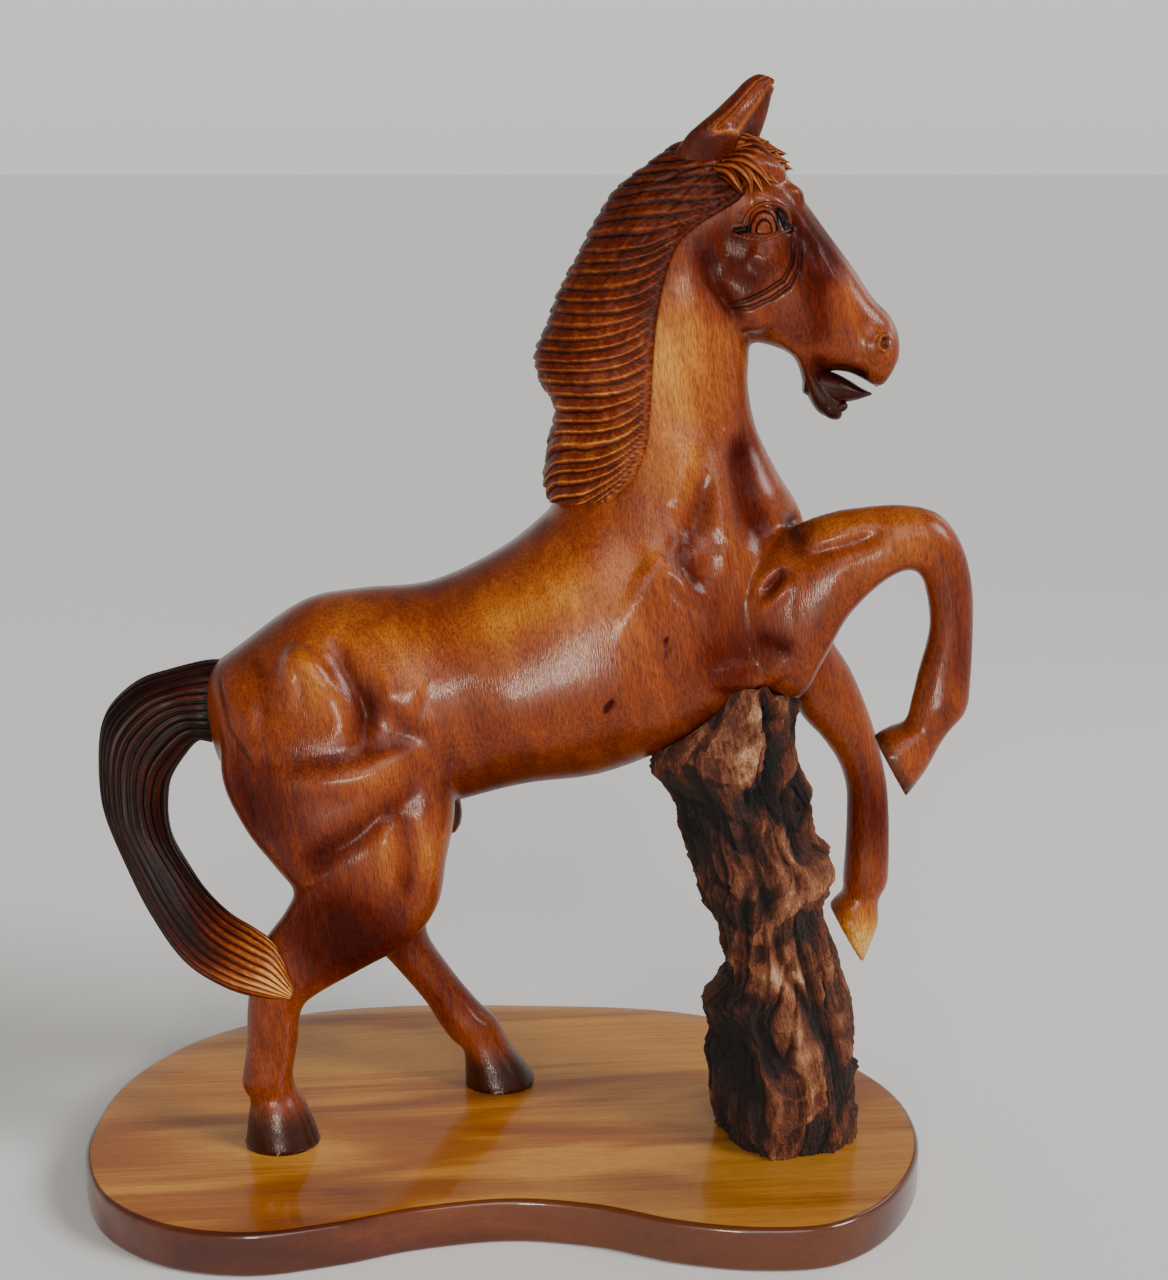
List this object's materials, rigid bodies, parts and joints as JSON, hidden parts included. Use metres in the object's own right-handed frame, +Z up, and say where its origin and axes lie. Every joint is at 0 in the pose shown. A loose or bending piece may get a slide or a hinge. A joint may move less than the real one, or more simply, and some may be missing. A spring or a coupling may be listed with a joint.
{
  "type": "carved wooden horse sculpture",
  "caption": "Carved wooden horse rearing with one foreleg raised, mane and arched tail cut in locks, its chest on a rough natural stump, on a kidney-shaped varnished base.",
  "frame": {"origin": "on the underside of the base, under the middle of the base's length and depth", "axes": "+Z up, +X the way the horse faces, -Y the side of the base with the hollow edge and the raised foreleg"},
  "size_m": [0.4822, 0.2846, 0.5997],
  "materials": {
    "varnished_slab": "golden brown slab with dark streaks, gloss varnish",
    "rough_root_wood": "bare weathered dark brown wood, deeply fissured, matt",
    "stained_wood": "reddish brown carved wood, dark and golden zones, gloss lacquer"
  },
  "bodies": {
    "root": {"base": "varnished_slab", "stump": "rough_root_wood", "horse": "stained_wood"}
  },
  "joints": []
}
